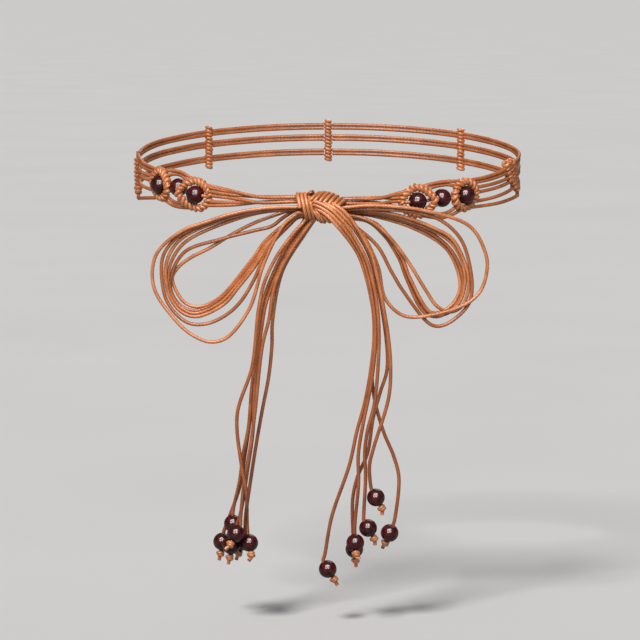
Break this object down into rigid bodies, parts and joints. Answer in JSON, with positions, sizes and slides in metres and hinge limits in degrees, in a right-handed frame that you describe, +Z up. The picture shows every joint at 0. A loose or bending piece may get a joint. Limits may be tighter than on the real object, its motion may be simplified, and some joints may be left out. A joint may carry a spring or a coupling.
{
  "type": "knotted rope belt",
  "caption": "Waist belt of knotted waxed cords with round dark wooden beads in hitched frames, tied in a front bow with long beaded ends.",
  "frame": {"origin": "middle of the waist opening, level with the middle of the band at the wearer's sides", "axes": "+Z up, -Y to the wearer's front where the bow is, +X to the viewer's right"},
  "size_m": [0.2691, 0.209, 0.3054],
  "materials": {
    "cord": "waxed twisted cotton",
    "bead": "gloss lacquer"
  },
  "bodies": {
    "root": {"left_loop_1": "cord", "left_loop_2": "cord", "left_loop_3": "cord", "left_loop_4": "cord", "left_loop_5": "cord", "left_loop_6": "cord", "right_loop_1": "cord", "right_loop_2": "cord", "right_loop_3": "cord", "right_loop_4": "cord", "right_loop_5": "cord", "right_loop_6": "cord", "left_tail_1": "cord", "left_tail_2": "cord", "left_tail_3": "cord", "left_tail_4": "cord", "left_tail_5": "cord", "left_tail_6": "cord", "right_tail_1": "cord", "right_tail_2": "cord", "right_tail_3": "cord", "right_tail_4": "cord", "right_tail_5": "cord", "right_tail_6": "cord", "bow_knot": "cord", "left_net": "cord", "right_net": "cord", "left_bar": "cord", "right_bar": "cord", "left_back_net": "cord", "right_back_net": "cord", "back_bar": "cord", "left_tail_bead_1": "bead", "left_tail_bead_2": "bead", "left_tail_bead_3": "bead", "left_tail_bead_4": "bead", "left_tail_bead_5": "bead", "left_tail_bead_6": "bead", "right_tail_bead_1": "bead", "right_tail_bead_2": "bead", "right_tail_bead_3": "bead", "right_tail_bead_4": "bead", "right_tail_bead_5": "bead", "right_tail_bead_6": "bead", "left_inner_bead": "bead", "left_middle_bead": "bead", "left_outer_bead": "bead", "right_inner_bead": "bead", "right_middle_bead": "bead", "right_outer_bead": "bead"}
  },
  "joints": []
}
